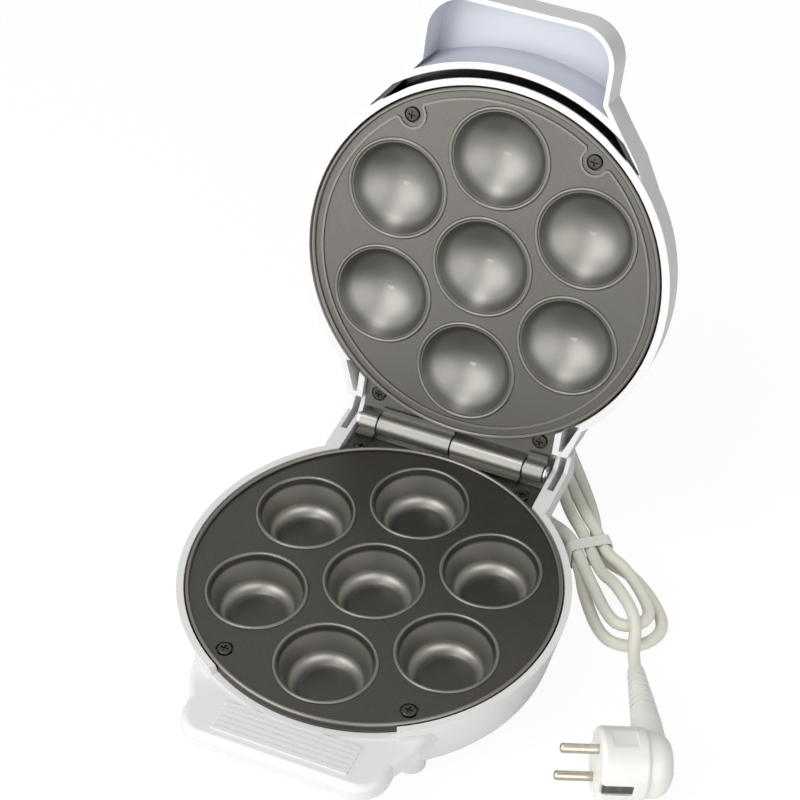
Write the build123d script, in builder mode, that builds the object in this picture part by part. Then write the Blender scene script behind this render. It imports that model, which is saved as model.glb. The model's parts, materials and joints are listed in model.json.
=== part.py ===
"""Electric muffin maker for seven small cakes, standing open on a table.

Millimetres. +X runs along the hinge to the right, +Y to the back, +Z up. The origin is on the
table, under the middle of the open appliance. Heights are above the table, and the lid's pieces
are drawn closed and then swung open.
"""
import os
from math import asin, cos, degrees, pi, radians, sin, tan

from build123d import *

os.makedirs("parts", exist_ok=True)

# Driving dimensions
plate_radius = 95.0
plate_y = -41.5  # centre of the round plates, ahead of the origin
web = 3.0  # thickness of the cast plates
cup_pitch = 59.4  # radius of the ring of six cups
cup_lip_radius = 25.3
cup_floor_radius = 18.2
cup_depth = 20.0
cup_corner = 8.0  # rounding between a cup's floor and side
dome_lip_radius = 26.4
dome_rise = 13.5
bead = 1.1  # radius of the bead round each cup and dome
lip_z = 42.0  # mouth of the lower cups
lid_lip_z = 44.5  # mouth of the lid's domes, closed
hinge_back = 103.2  # from the plate centre to the hinge axis
hinge_z = 43.6
lid_open = 108.7  # swing from closed to the lid's rest on the shelf
barrel_radius = 5.6
pin_radius = 2.5
body_radius = 99.6
body_bottom = 6.0
body_top = 42.4
lid_rim = 44.0
lid_top = 85.0
wall = 2.5
rear_wall_back = 91.0
shelf_back = 124.0
shelf_bottom = 29.5
flange_half = 53.5
cord_diameter = 6.4

# Heights worked out from them
plate_top = lip_z - 0.9
plate_under = plate_top - web
rim_top = lip_z + 1.0
flange_top = hinge_z - 4.6
flange_under = flange_top - 2.7
lid_face = lid_lip_z + 0.9
lid_web_top = lid_face + web
lid_flange_face = hinge_z + 4.0
lid_flange_top = lid_flange_face + 2.7
flange_back = hinge_back - 6.6
cup_floor = lip_z - cup_depth
sheath_radius = 3.0
strap_sheet = 1.0
lower_element_z = 24.7
upper_element_z = 56.4
lower_strap_z = lower_element_z - sheath_radius - strap_sheet - 0.2
upper_strap_z = upper_element_z + sheath_radius + 0.2
floor_top = body_bottom + wall
lower_shield_z = 14.5
upper_shield_z = 64.8
exit_x = 14.0
exit_z = 18.0

# Screws, cups and gaps between the cups, from the plate centre
front_screws = [(-49.1, -70.8), (49.1, -70.8)]
rear_screws = [(-45.9, 87.5), (45.9, 87.5)]
nubs = [(x, flange_back - 0.3) for x in (10, 23, 36)]  # on the lid plate's flange
ring_angles = [30 + 60 * k for k in range(6)]
cups = [(0, 0)] + [(cup_pitch * cos(radians(a)), cup_pitch * sin(radians(a))) for a in ring_angles]
strap_posts = [(45 * cos(radians(a)), 45 * sin(radians(a))) for a in (0, 120, 240)]
shield_posts = [(60 * cos(radians(a)), 60 * sin(radians(a))) for a in (90, 210, 330)]
feet = [(-50, -70), (50, -70), (-50, 80.5), (50, 80.5)]

middle = Plane((0, plate_y, 0))
section = Plane(origin=(0, plate_y, 0), x_dir=(1, 0, 0), z_dir=(0, -1, 0))
side = Plane(origin=(0, plate_y, 0), x_dir=(0, 1, 0), z_dir=(1, 0, 0))
plate_axis = Axis((0, plate_y, 0), (0, 0, 1))
hinge_axis = Axis((0, plate_y + hinge_back, hinge_z), (1, 0, 0))


def at(points, z):
    """Places from the plate centre, at one height."""
    return [(x, plate_y + back, z) for x, back in points]


def mirrored(points):
    """The same places on the left, in the order that goes on round an outline."""
    return [(-x, back) for x, back in reversed(points)]


def opened(piece):
    """A piece drawn with the lid closed, swung to where the lid rests open."""
    return piece.rotate(hinge_axis, -lid_open)


def turned(profile):
    """A solid of revolution about the plates' axis, from radius and height pairs."""
    with BuildPart() as solid:
        with BuildSketch(section):
            with BuildLine():
                Polyline(*profile, close=True)
            make_face()
        revolve(axis=plate_axis)
    return solid.part


def slab(outline, low, high, corner=0.0, taper=0.0):
    """An outline seen from above, raised from one height to another."""
    with BuildPart() as solid:
        with BuildSketch(middle.offset(low)):
            with BuildLine():
                Polyline(*outline, close=True)
            make_face()
            if corner:
                fillet(vertices().group_by(Axis.Y)[0], corner)
        extrude(amount=high - low, taper=taper)
    return solid.part


def block(x_from, x_to, back_from, back_to, low, high):
    outline = [(x_from, back_from), (x_to, back_from), (x_to, back_to), (x_from, back_to)]
    return slab(outline, low, high)


def posts(points, radius, low, high):
    with BuildPart() as solid:
        with Locations(*at(points, low)):
            Cylinder(radius, high - low, align=(Align.CENTER, Align.CENTER, Align.MIN))
    return solid.part


def front_arc(inner, outer, low, high, half_angle):
    """Part of a ring, centred on the front of the plates."""
    with BuildPart() as solid:
        with BuildSketch(middle.offset(low)):
            with BuildLine():
                start = -90 - half_angle
                far = CenterArc((0, 0), outer, start, 2 * half_angle)
                near = CenterArc((0, 0), inner, start, 2 * half_angle)
                Line(far @ 0, near @ 0)
                Line(far @ 1, near @ 1)
            make_face()
        extrude(amount=high - low)
    return solid.part


def knuckle(x_from, x_to, bridge_low, bridge_high):
    """A hinge knuckle without its bore, and the bridge that ties it to its flange."""
    with BuildPart() as solid:
        with BuildSketch(side.offset(x_from)):
            with Locations((hinge_back, hinge_z)):
                Circle(barrel_radius)
            with BuildLine():
                Polyline(
                    (hinge_back - 9, bridge_low),
                    (hinge_back - 1, bridge_low),
                    (hinge_back - 1, bridge_high),
                    (hinge_back - 9, bridge_high),
                    close=True,
                )
            make_face()
        extrude(amount=x_to - x_from)
    return solid.part


def pin_bore():
    with BuildPart() as solid:
        with BuildSketch(side.offset(-60)):
            with Locations((hinge_back, hinge_z)):
                Circle(pin_radius + 0.05)
        extrude(amount=120)
    return solid.part


# Lower plate: seven tapered cups, a raised rim, the hinge flange and its two knuckles
shell = 2.2

with BuildPart() as cup_hollow:
    with BuildSketch(section):
        with BuildLine():
            Polyline(
                (0, cup_floor),
                (cup_floor_radius, cup_floor),
                (cup_lip_radius - bead, lip_z),
                (cup_lip_radius - bead, lip_z + 4),
                (0, lip_z + 4),
                close=True,
            )
        make_face()
    revolve(axis=plate_axis)
    fillet(edges().filter_by(GeomType.CIRCLE).group_by(Axis.Z)[0], cup_corner)

with BuildPart() as cup_shell:
    with BuildSketch(section):
        with BuildLine():
            Polyline(
                (0, cup_floor - shell),
                (cup_floor_radius + shell, cup_floor - shell),
                (cup_lip_radius - bead + shell, plate_under + 1),
                (0, plate_under + 1),
                close=True,
            )
        make_face()
    revolve(axis=plate_axis)
    fillet(edges().filter_by(GeomType.CIRCLE).group_by(Axis.Z)[0], cup_corner + shell)

with BuildPart() as lower_plate:
    add(turned([(0, plate_under), (plate_radius, plate_under), (plate_radius, plate_top), (0, plate_top)]))
    add(
        turned(
            [
                (plate_radius - 2.0, plate_under),
                (plate_radius, plate_under),
                (plate_radius, rim_top - 0.6),
                (plate_radius - 0.6, rim_top),
                (plate_radius - 1.4, rim_top),
                (plate_radius - 2.0, rim_top - 0.6),
            ]
        )
    )
    add(block(-flange_half, flange_half, 74, flange_back, flange_under, flange_top))
    add(knuckle(-52.2, -42.5, flange_under, hinge_z - 2))
    add(knuckle(0.6, 40.5, flange_under, hinge_z - 2))
    with Locations(*at(cups, 0)):
        add(cup_shell.part.moved(Location((0, -plate_y, 0))))
    with Locations(*at(cups, lip_z - bead)):
        Torus(cup_lip_radius, bead)
    with Locations(*at(cups, 0)):
        add(cup_hollow.part.moved(Location((0, -plate_y, 0))), mode=Mode.SUBTRACT)
    add(posts(strap_posts, 3.5, lower_strap_z + strap_sheet, plate_under + 0.5))
    add(posts(strap_posts, 1.3, lower_strap_z, plate_under - 1), mode=Mode.SUBTRACT)
    add(pin_bore(), mode=Mode.SUBTRACT)
    with Locations(*at(front_screws, plate_top)):
        CounterBoreHole(2.2, 4.6, 1.4, 8)
    with Locations(*at(rear_screws, flange_top)):
        CounterBoreHole(2.2, 4.4, 1.0, 8)
lower_plate.part.label = "lower_plate"
export_step(lower_plate.part, "parts/lower_plate.step")

# Lid plate: seven domes, a moulded line that passes round the front screws, flange and knuckles
dome_mouth = dome_lip_radius - bead
dome_radius = (dome_mouth**2 + dome_rise**2) / (2 * dome_rise)
dome_centre = lid_lip_z + dome_rise - dome_radius

with BuildPart() as dome_shell:
    with Locations((0, 0, dome_centre)):
        Sphere(dome_radius + shell)
    split(bisect_by=Plane((0, 0, lid_face + 1)), keep=Keep.TOP)


def line_outline(inset):
    """A circle that gives way to the two front screws, with its corners rounded."""
    with BuildSketch(middle.offset(lid_face - 0.8)) as outline:
        Circle(plate_radius - 5.5 - inset)
        with Locations(*front_screws):
            Circle(6.6 + inset, mode=Mode.SUBTRACT)
        fillet(outline.vertices(), 2.5 - inset)
    return outline.sketch


with BuildPart() as moulded_line:
    extrude(line_outline(0), amount=0.9)
    extrude(line_outline(1.2), amount=0.9, mode=Mode.SUBTRACT)

with BuildPart() as upper_plate:
    add(turned([(0, lid_face), (plate_radius, lid_face), (plate_radius, lid_web_top), (0, lid_web_top)]))
    add(
        turned(
            [
                (plate_radius - 2.0, lid_lip_z - 0.1),
                (plate_radius - 1.4, lid_lip_z - 0.7),
                (plate_radius - 0.6, lid_lip_z - 0.7),
                (plate_radius, lid_lip_z - 0.1),
                (plate_radius, lid_web_top),
                (plate_radius - 2.0, lid_web_top),
            ]
        )
    )
    add(block(-flange_half, flange_half, 74, flange_back, lid_flange_face, lid_flange_top))
    add(knuckle(-41.5, -0.4, hinge_z + 2, lid_flange_top))
    add(knuckle(41.5, 52.2, hinge_z + 2, lid_flange_top))
    add(posts(strap_posts, 3.0, lid_face + 1, upper_strap_z))
    with Locations(*at(cups, 0)):
        add(dome_shell.part)
    with Locations(*at(cups, lid_lip_z + bead)):
        Torus(dome_lip_radius, bead)
    with Locations(*at(cups, dome_centre)):
        Sphere(dome_radius, mode=Mode.SUBTRACT)
    add(moulded_line.part)
    add(posts(nubs, 0.9, lid_flange_face + 0.3, lid_flange_face + 2.1))
    add(posts(strap_posts, 1.3, lid_web_top + 2, upper_strap_z + 1), mode=Mode.SUBTRACT)
    add(pin_bore(), mode=Mode.SUBTRACT)
    add(posts(front_screws, 2.2, lid_face - 1, lid_web_top + 1), mode=Mode.SUBTRACT)
    add(posts(front_screws, 4.4, lid_face - 1, lid_face + 1.4), mode=Mode.SUBTRACT)
    add(posts(rear_screws, 2.2, lid_flange_face - 1, lid_flange_top + 1), mode=Mode.SUBTRACT)
    add(posts(rear_screws, 4.4, lid_flange_face - 0.4, lid_flange_face + 1.0), mode=Mode.SUBTRACT)
upper_plate.part = opened(upper_plate.part)
upper_plate.part.label = "upper_plate"
export_step(upper_plate.part, "parts/upper_plate.step")

# Base housing: a one-piece tub with a hinge shelf behind, a ribbed handle in front, screw pillars
# and four moulded feet
handle_half = [(66, -66), (61, -86), (54, -101), (54, -121)]
handle_outline = handle_half + mirrored(handle_half)
handle_inside_half = [(60, -66), (56, -90), (51.5, -103), (51.5, -118.5)]
handle_inside = handle_inside_half + mirrored(handle_inside_half)
base_handle_low = 27.5
base_handle_top = 36.4

with BuildPart() as base_body:
    add(turned([(0, body_bottom), (91.5, body_bottom), (body_radius, body_top), (0, body_top)]))
    fillet(edges().filter_by(GeomType.CIRCLE).group_by(Axis.Z)[0], 5)

with BuildPart() as base_inside:
    add(turned([(0, floor_top), (89.2, floor_top), (body_radius - 3.4, body_top + 1), (0, body_top + 1)]))
    fillet(edges().filter_by(GeomType.CIRCLE).group_by(Axis.Z)[0], 3)

with BuildPart() as base_handle:
    add(slab(handle_outline, base_handle_low, base_handle_top, corner=15))
    fillet(faces().sort_by(Axis.Z)[-1].edges(), 3.5)

with BuildPart() as base_rear:
    add(block(-62.5, 62.5, 60, rear_wall_back, body_bottom, body_top))
    fillet(edges().filter_by(Axis.Z).group_by(Axis.Y)[-1], 3)
    fillet(faces().sort_by(Axis.Z)[0].edges().group_by(Axis.Y)[-1], 3)

with BuildPart() as hinge_shelf:
    with BuildSketch(side.offset(-63)):
        with BuildLine():
            Polyline(
                (80, shelf_bottom),
                (shelf_back, shelf_bottom),
                (shelf_back, 48.9),
                (shelf_back - 9, 48.9),
                (shelf_back - 15, body_top),
                (80, body_top),
                close=True,
            )
        make_face()
    extrude(amount=126)
    fillet(edges().filter_by(Axis.Z).group_by(Axis.Y)[-1], 4)
    fillet(faces().sort_by(Axis.Z)[0].edges().group_by(Axis.Y)[-1], 2.5)

with BuildPart() as base_handle_hollow:
    add(slab(handle_inside, base_handle_low - 1, base_handle_top - wall, corner=12.5))
    add(base_body.part, mode=Mode.SUBTRACT)

with BuildPart() as base_room:
    add(base_inside.part)
    add(block(-110, 110, rear_wall_back - wall, 120, 0, body_top + 2), mode=Mode.SUBTRACT)
    add(block(-54.8, 54.8, 60, rear_wall_back - wall, floor_top, body_top + 1))
    for x, back in front_screws:
        add(posts([(x, back)], 4.5, floor_top - 1, plate_under), mode=Mode.SUBTRACT)
    for x, back in rear_screws:
        add(posts([(x, back)], 3.5, floor_top - 1, flange_under), mode=Mode.SUBTRACT)
    add(posts(shield_posts, 3.5, floor_top - 1, lower_shield_z), mode=Mode.SUBTRACT)

with BuildPart() as base_housing:
    add(base_body.part)
    add(block(-110, 110, rear_wall_back, 120, 0, body_top + 1), mode=Mode.SUBTRACT)
    add(base_handle.part)
    add(base_rear.part)
    add(hinge_shelf.part)
    add(posts(feet, 7.5, 1.6, 14))
    add(base_room.part, mode=Mode.SUBTRACT)
    # Holes for the screws, the rubber pads and the cord's bush
    add(posts(front_screws, 2.0, floor_top + 6, plate_under + 1), mode=Mode.SUBTRACT)
    add(posts(rear_screws, 2.0, floor_top + 6, flange_under + 1), mode=Mode.SUBTRACT)
    add(posts(feet, 5.55, 0, 3.1), mode=Mode.SUBTRACT)
    add(posts(shield_posts, 1.3, floor_top, lower_shield_z + 1), mode=Mode.SUBTRACT)
    with BuildSketch(Plane(origin=(exit_x, plate_y + rear_wall_back + 1, exit_z), z_dir=(0, -1, 0))):
        Circle(5.45)
    extrude(amount=wall + 2, mode=Mode.SUBTRACT)
    # Under the handle, the notch for the plate, the trough of the hinge and its two pockets
    add(base_handle_hollow.part, mode=Mode.SUBTRACT)
    add(front_arc(94, body_radius + 1, base_handle_top + 1, body_top + 1, 30), mode=Mode.SUBTRACT)
    add(block(-54.8, 54.8, 80, shelf_back - 10, 35.8, 60), mode=Mode.SUBTRACT)
    add(block(-54.8, 54.8, rear_wall_back, shelf_back - 10, shelf_bottom + wall, 60), mode=Mode.SUBTRACT)
    add(block(-54.8, 54.8, shelf_back - 12, shelf_back - wall, shelf_bottom + wall, 45.5), mode=Mode.SUBTRACT)
    with BuildSketch(middle.offset(base_handle_top)):
        with Locations((0, -106)):
            with GridLocations(0, 3.1, 1, 6):
                SlotOverall(72, 1.9)
    extrude(amount=0.8)
    for x in (-59, 59):
        add(block(x - 1.8, x + 1.8, 94, shelf_back - 5, shelf_bottom + wall, 60), mode=Mode.SUBTRACT)
base_housing.part.label = "base_housing"
export_step(base_housing.part, "parts/base_housing.step")

# Lid housing: a dome with its handle hood in front, hinge corners behind, screw pillars, the
# heat slot round the front and two lamp holes
hood_half = [(79, -59), (70, -75), (60, -88), (50.5, -101), (50.5, -138)]
hood_outline = hood_half + mirrored(hood_half)
hood_inside_half = [(60, -70), (57.9, -86.5), (48, -100), (48, -135.5)]
hood_inside = hood_inside_half + mirrored(hood_inside_half)
hood_low = lid_rim + 1.5
hood_top = 70.0
slot_inner = 99.8
slot_outer = 103.9
slot_deep = 62.0
slot_end = [(slot_inner, 32), (slot_outer, 32), (slot_outer, 33), (slot_inner, 41.5)]  # radius, angle
lamp_places = [(-9, -38), (9, -38)]
pocket = [(57.5, 72), (66, 72), (59.5, rear_wall_back - wall), (57.5, rear_wall_back - wall)]


def smooth_dome(profile, shoulder, crown):
    """A dome turned from its profile, with its shoulder and crown rounded."""
    with BuildPart() as solid:
        with BuildSketch(section):
            with BuildLine():
                Polyline(*profile, close=True)
            make_face()
            fillet(vertices().filter_by(lambda v: abs(v.X - profile[2][0]) < 0.01), shoulder)
            fillet(vertices().filter_by(lambda v: abs(v.X - profile[3][0]) < 0.01), crown)
        revolve(axis=plate_axis)
    return solid.part


with BuildPart() as lid_hood:
    add(slab(hood_outline, hood_low, hood_top, corner=21))
    fillet(faces().sort_by(Axis.Z)[-1].edges(), 6)

lid_rear_half = [(69, 60), (69, 70), (62.5, rear_wall_back)]
with BuildPart() as lid_rear:
    add(slab(lid_rear_half + mirrored(lid_rear_half), lid_rim, hood_top))
    fillet(faces().sort_by(Axis.Z)[-1].edges().group_by(Axis.Y)[-1], 8)

with BuildPart() as hood_hollow:
    add(slab(hood_inside, hood_low - 1, hood_top - wall, corner=18.5))
    add(turned([(0, 40), (107, 40), (110.5, 70), (0, 70)]), mode=Mode.SUBTRACT)

with BuildPart() as lid_room:
    inner_dome = [(0, lid_rim - 1), (96.2, lid_rim - 1), (95.9, 65), (82.3, 79), (0, lid_top - wall)]
    add(smooth_dome(inner_dome, 9, 25))
    add(block(-110, 110, rear_wall_back - wall, 120, lid_rim - 2, 90), mode=Mode.SUBTRACT)
    add(block(-54.2, 54.2, 60, rear_wall_back - wall, lid_rim - 1, 67))
    for x, back in front_screws:
        add(posts([(x, back)], 4.5, lid_web_top, 84), mode=Mode.SUBTRACT)
    for x, back in rear_screws:
        add(posts([(x, back)], 3.5, lid_flange_top, 84), mode=Mode.SUBTRACT)
    add(posts(shield_posts, 3.5, upper_shield_z, 84), mode=Mode.SUBTRACT)

with BuildPart() as lid_housing:
    add(smooth_dome([(0, lid_rim), (100.2, lid_rim), (98.8, 66), (84, 81.5), (0, lid_top)], 12, 28))
    add(block(-110, 110, rear_wall_back, 120, lid_rim - 1, 90), mode=Mode.SUBTRACT)
    add(lid_hood.part)
    add(lid_rear.part)
    add(lid_room.part, mode=Mode.SUBTRACT)
    add(hood_hollow.part, mode=Mode.SUBTRACT)
    add(front_arc(slot_inner, slot_outer, lid_rim - 1, slot_deep, 33), mode=Mode.SUBTRACT)
    for side_sign in (-1, 1):
        end = [(side_sign * r * sin(radians(a)), -r * cos(radians(a))) for r, a in slot_end]
        add(slab(end, lid_rim - 1, slot_deep), mode=Mode.SUBTRACT)
    add(block(-54.2, 54.2, rear_wall_back - 4, rear_wall_back + 1, lid_rim - 1, 52), mode=Mode.SUBTRACT)
    add(slab(pocket, lid_rim - 1, 62), mode=Mode.SUBTRACT)
    add(slab([(-x, back) for x, back in pocket], lid_rim - 1, 62), mode=Mode.SUBTRACT)
    add(posts(lamp_places, 4.0, 70, 90), mode=Mode.SUBTRACT)
    add(posts(front_screws + rear_screws, 2.0, lid_rim, 66), mode=Mode.SUBTRACT)
    add(posts(shield_posts, 1.3, upper_shield_z - 1, 75), mode=Mode.SUBTRACT)
lid_housing.part = opened(lid_housing.part)
lid_housing.part.label = "lid_housing"
export_step(lid_housing.part, "parts/lid_housing.step")

# Hinge pin, headed at the left and held by a clip at the right
with BuildPart() as hinge_pin:
    with BuildSketch(side.offset(-53.9)):
        with Locations((hinge_back, hinge_z)):
            Circle(3.8)
    extrude(amount=1.4)
    with BuildSketch(side.offset(-53)):
        with Locations((hinge_back, hinge_z)):
            Circle(pin_radius)
    extrude(amount=107.2)
    with BuildSketch(side.offset(52.9)):
        with Locations((hinge_back, hinge_z)):
            Circle(pin_radius + 1)
            Circle(pin_radius - 0.5, mode=Mode.SUBTRACT)
    extrude(amount=0.7, mode=Mode.SUBTRACT)
hinge_pin.part.label = "hinge_pin"
export_step(hinge_pin.part, "parts/hinge_pin.step")

with BuildPart() as hinge_clip:
    with BuildSketch(side.offset(52.95)):
        with Locations((hinge_back, hinge_z)):
            Circle(4.4)
            Circle(pin_radius - 0.5, mode=Mode.SUBTRACT)
        with Locations((hinge_back, hinge_z - 3)):
            Rectangle(3.2, 5, mode=Mode.SUBTRACT)
    extrude(amount=0.6)
hinge_clip.part.label = "hinge_pin_clip"
export_step(hinge_clip.part, "parts/hinge_pin_clip.step")


# Screws: pan heads with a cross recess, and plain shanks in the pillars
def pan_screws(points, seat, length, head=3.75, shank=1.95, height=2.2):
    """Screws that point down from their seats."""
    with BuildPart() as solid:
        with Locations(*at(points, seat)):
            Cylinder(head, height, align=(Align.CENTER, Align.CENTER, Align.MIN))
        fillet(faces().filter_by(Plane.XY).sort_by(Axis.Z)[-len(points):].edges(), height * 0.4)
        with Locations(*at(points, seat + 1)):
            Cylinder(shank, length + 1, align=(Align.CENTER, Align.CENTER, Align.MAX))
        with Locations(*at(points, seat + height)):
            Box(head * 1.05, head * 0.24, height * 1.1, mode=Mode.SUBTRACT)
            Box(head * 0.24, head * 1.05, height * 1.1, mode=Mode.SUBTRACT)
    return solid.part


def flipped(piece, height):
    """The same piece turned upside down about a height."""
    return piece.mirror(Plane((0, 0, height)))


screw_drop = 13.5
with BuildPart() as lower_plate_screws:
    add(pan_screws(front_screws, plate_top - 1.4, screw_drop))
    add(pan_screws(rear_screws, flange_top - 1.0, screw_drop))
lower_plate_screws.part.label = "lower_plate_screws"
export_step(lower_plate_screws.part, "parts/lower_plate_screws.step")

with BuildPart() as upper_plate_screws:
    add(flipped(pan_screws(front_screws, lid_face + 1.4, screw_drop), lid_face + 1.4))
    add(flipped(pan_screws(rear_screws, lid_flange_face + 1.0, screw_drop), lid_flange_face + 1.0))
upper_plate_screws.part = opened(upper_plate_screws.part)
upper_plate_screws.part.label = "upper_plate_screws"
export_step(upper_plate_screws.part, "parts/upper_plate_screws.step")


# Heating elements: a sheathed ring between the centre cup and the six outer cups, with two legs
# that leave between two outer cups
ring_radius = 30.0
leg_gap = 3.8
leg_bend = 6.0
leg_end = 74.0
leg_angle = 60


def element(height):
    opening = degrees(asin((leg_gap + leg_bend) / (ring_radius + leg_bend)))
    with BuildPart() as solid:
        with BuildLine() as path:
            ring = CenterArc((0, 0), ring_radius, opening, 360 - 2 * opening)
            first = JernArc(ring @ 1, ring % 1, leg_bend, -90 + opening)
            second = JernArc(ring @ 0, (ring % 0) * -1, leg_bend, 90 - opening)
            Line(first @ 1, (leg_end, (first @ 1).Y))
            Line(second @ 1, (leg_end, (second @ 1).Y))
        with BuildSketch(Plane(origin=path.line @ 0, z_dir=path.line % 0)):
            Circle(sheath_radius)
        sweep(path=path.line)
    return solid.part.rotate(Axis.Z, leg_angle).moved(Location((0, plate_y, height)))


def element_pins(height):
    """The two terminal pins, which stand out of the legs' ends."""
    pins = Plane((0, plate_y, height)).rotated((0, 0, leg_angle))
    with BuildPart() as solid:
        for offset_across in (-leg_gap, leg_gap):
            leg_tip = pins.from_local_coords((leg_end, offset_across, 0))
            with BuildSketch(Plane(origin=leg_tip, z_dir=pins.x_dir)):
                Circle(1.3)
            extrude(amount=7)
    return solid.part


with BuildPart() as lower_element:
    add(element(lower_element_z))
    add(element_pins(lower_element_z))
lower_element.part.label = "lower_heating_element"
export_step(lower_element.part, "parts/lower_heating_element.step")

with BuildPart() as upper_element:
    add(element(upper_element_z))
    add(element_pins(upper_element_z))
upper_element.part = opened(upper_element.part)
upper_element.part.label = "upper_heating_element"
export_step(upper_element.part, "parts/upper_heating_element.step")


# Straps that hold each element to its plate, one in every second gap between the cups
def straps(height):
    with BuildPart() as solid:
        with BuildSketch(middle.offset(height)):
            with PolarLocations(38.5, 3, start_angle=0):
                Rectangle(24, 9)
            with PolarLocations(45, 3, start_angle=0):
                Circle(1.6, mode=Mode.SUBTRACT)
        extrude(amount=strap_sheet)
    return solid.part


def strap_screws(height):
    return pan_screws(strap_posts, height, 5.5, head=2.8, shank=1.25, height=1.8)


with BuildPart() as lower_straps:
    add(straps(lower_strap_z))
lower_straps.part.label = "lower_element_straps"
export_step(lower_straps.part, "parts/lower_element_straps.step")

with BuildPart() as lower_strap_screws:
    add(flipped(strap_screws(lower_strap_z), lower_strap_z))
lower_strap_screws.part.label = "lower_strap_screws"
export_step(lower_strap_screws.part, "parts/lower_strap_screws.step")

with BuildPart() as upper_straps:
    add(straps(upper_strap_z))
upper_straps.part = opened(upper_straps.part)
upper_straps.part.label = "upper_element_straps"
export_step(upper_straps.part, "parts/upper_element_straps.step")

with BuildPart() as upper_strap_screws:
    add(strap_screws(upper_strap_z + 1.0))
upper_strap_screws.part = opened(upper_strap_screws.part)
upper_strap_screws.part.label = "upper_strap_screws"
export_step(upper_strap_screws.part, "parts/upper_strap_screws.step")


# Heat shields: shallow steel dishes between each plate and its housing, each on three pillars
shield_radius = 74.0
shield_sheet = 0.8


def shield(flat, rim):
    """A dish whose rim stands towards its plate."""
    toward = 1 if rim > flat else -1
    with BuildPart() as solid:
        add(
            turned(
                [
                    (0, flat),
                    (shield_radius + 2, flat),
                    (shield_radius + 4, rim),
                    (shield_radius + 4 - shield_sheet, rim),
                    (shield_radius + 2 - shield_sheet, flat + toward * shield_sheet),
                    (0, flat + toward * shield_sheet),
                ]
            )
        )
        add(posts(shield_posts, 1.7, min(flat, rim) - 1, max(flat, rim)), mode=Mode.SUBTRACT)
    return solid.part


with BuildPart() as lower_shield:
    add(shield(lower_shield_z, 18.6))
lower_shield.part.label = "lower_heat_shield"
export_step(lower_shield.part, "parts/lower_heat_shield.step")

with BuildPart() as upper_shield:
    add(shield(upper_shield_z, 58.5))
upper_shield.part = opened(upper_shield.part)
upper_shield.part.label = "upper_heat_shield"
export_step(upper_shield.part, "parts/upper_heat_shield.step")

with BuildPart() as lower_shield_screws:
    add(pan_screws(shield_posts, lower_shield_z + shield_sheet, 5, head=2.8, shank=1.25, height=1.8))
lower_shield_screws.part.label = "lower_shield_screws"
export_step(lower_shield_screws.part, "parts/lower_shield_screws.step")

with BuildPart() as upper_shield_screws:
    upper_seat = upper_shield_z - shield_sheet
    add(flipped(pan_screws(shield_posts, upper_seat, 8, head=2.8, shank=1.25, height=1.8), upper_seat))
upper_shield_screws.part = opened(upper_shield_screws.part)
upper_shield_screws.part.label = "upper_shield_screws"
export_step(upper_shield_screws.part, "parts/upper_shield_screws.step")


# Thermostats: a metal cap against the plate, a flange, a moulded body and two blades
def thermostat(seat, away):
    """A snap-disc thermostat at the right of a plate; away is +1 for a lid, -1 for the base."""
    place = [(81, 0)]
    levels = sorted([seat, seat + away * 3.0])
    body = sorted([seat + away * 3.0, seat + away * 7.0])
    blades = sorted([seat + away * 7.0, seat + away * 7.8])
    with BuildPart() as solid:
        add(posts(place, 7.6, *levels))
        add(posts(place, 6.4, *body))
        with BuildSketch(middle.offset(blades[0])):
            with Locations((81 - 4, 0), (81 + 4, 0)):
                Rectangle(4.6, 11)
        extrude(amount=blades[1] - blades[0])
    return solid.part


with BuildPart() as lower_thermostat:
    add(thermostat(plate_under, -1))
lower_thermostat.part.label = "lower_thermostat"
export_step(lower_thermostat.part, "parts/lower_thermostat.step")

with BuildPart() as upper_thermostat:
    add(thermostat(lid_web_top, 1))
upper_thermostat.part = opened(upper_thermostat.part)
upper_thermostat.part.label = "upper_thermostat"
export_step(upper_thermostat.part, "parts/upper_thermostat.step")

# Thermal fuse: a small can with two leads, against the lower plate at the left
fuse_x = -80.0
fuse_z = plate_under - 2.4
with BuildPart() as thermal_fuse:
    with BuildSketch(Plane(origin=(fuse_x, plate_y - 6, fuse_z), z_dir=(0, 1, 0))):
        Circle(2.1)
    extrude(amount=12)
    with BuildSketch(Plane(origin=(fuse_x, plate_y - 10, fuse_z), z_dir=(0, 1, 0))):
        Circle(0.6)
    extrude(amount=20)
thermal_fuse.part.label = "thermal_fuse"
export_step(thermal_fuse.part, "parts/thermal_fuse.step")

# Terminal block: three poles one above the other, beside the cord's way in
block_x, block_y = 33.0, 79.8
pole_heights = [12.5, 19.5, 26.5]
with BuildPart() as terminal_block:
    add(block(block_x - 5, block_x + 5, block_y - 3.8, block_y + 3.8, floor_top, floor_top + 22))
    fillet(edges().filter_by(Axis.Z), 1)
    for height in pole_heights:
        with BuildSketch(Plane(origin=(block_x, plate_y + block_y - 3.8, height), z_dir=(0, -1, 0))):
            Circle(2.0)
        extrude(amount=-3.0, mode=Mode.SUBTRACT)
terminal_block.part.label = "terminal_block"
export_step(terminal_block.part, "parts/terminal_block.step")

with BuildPart() as terminal_screws:
    for height in pole_heights:
        with BuildSketch(Plane(origin=(block_x, plate_y + block_y - 0.9, height), z_dir=(0, -1, 0))):
            Circle(1.9)
        extrude(amount=1.8)
        with BuildSketch(Plane(origin=(block_x, plate_y + block_y - 2.7, height), z_dir=(0, -1, 0))):
            Rectangle(3.0, 0.6)
        extrude(amount=-0.8, mode=Mode.SUBTRACT)
terminal_screws.part.label = "terminal_screws"
export_step(terminal_screws.part, "parts/terminal_screws.step")

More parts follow.
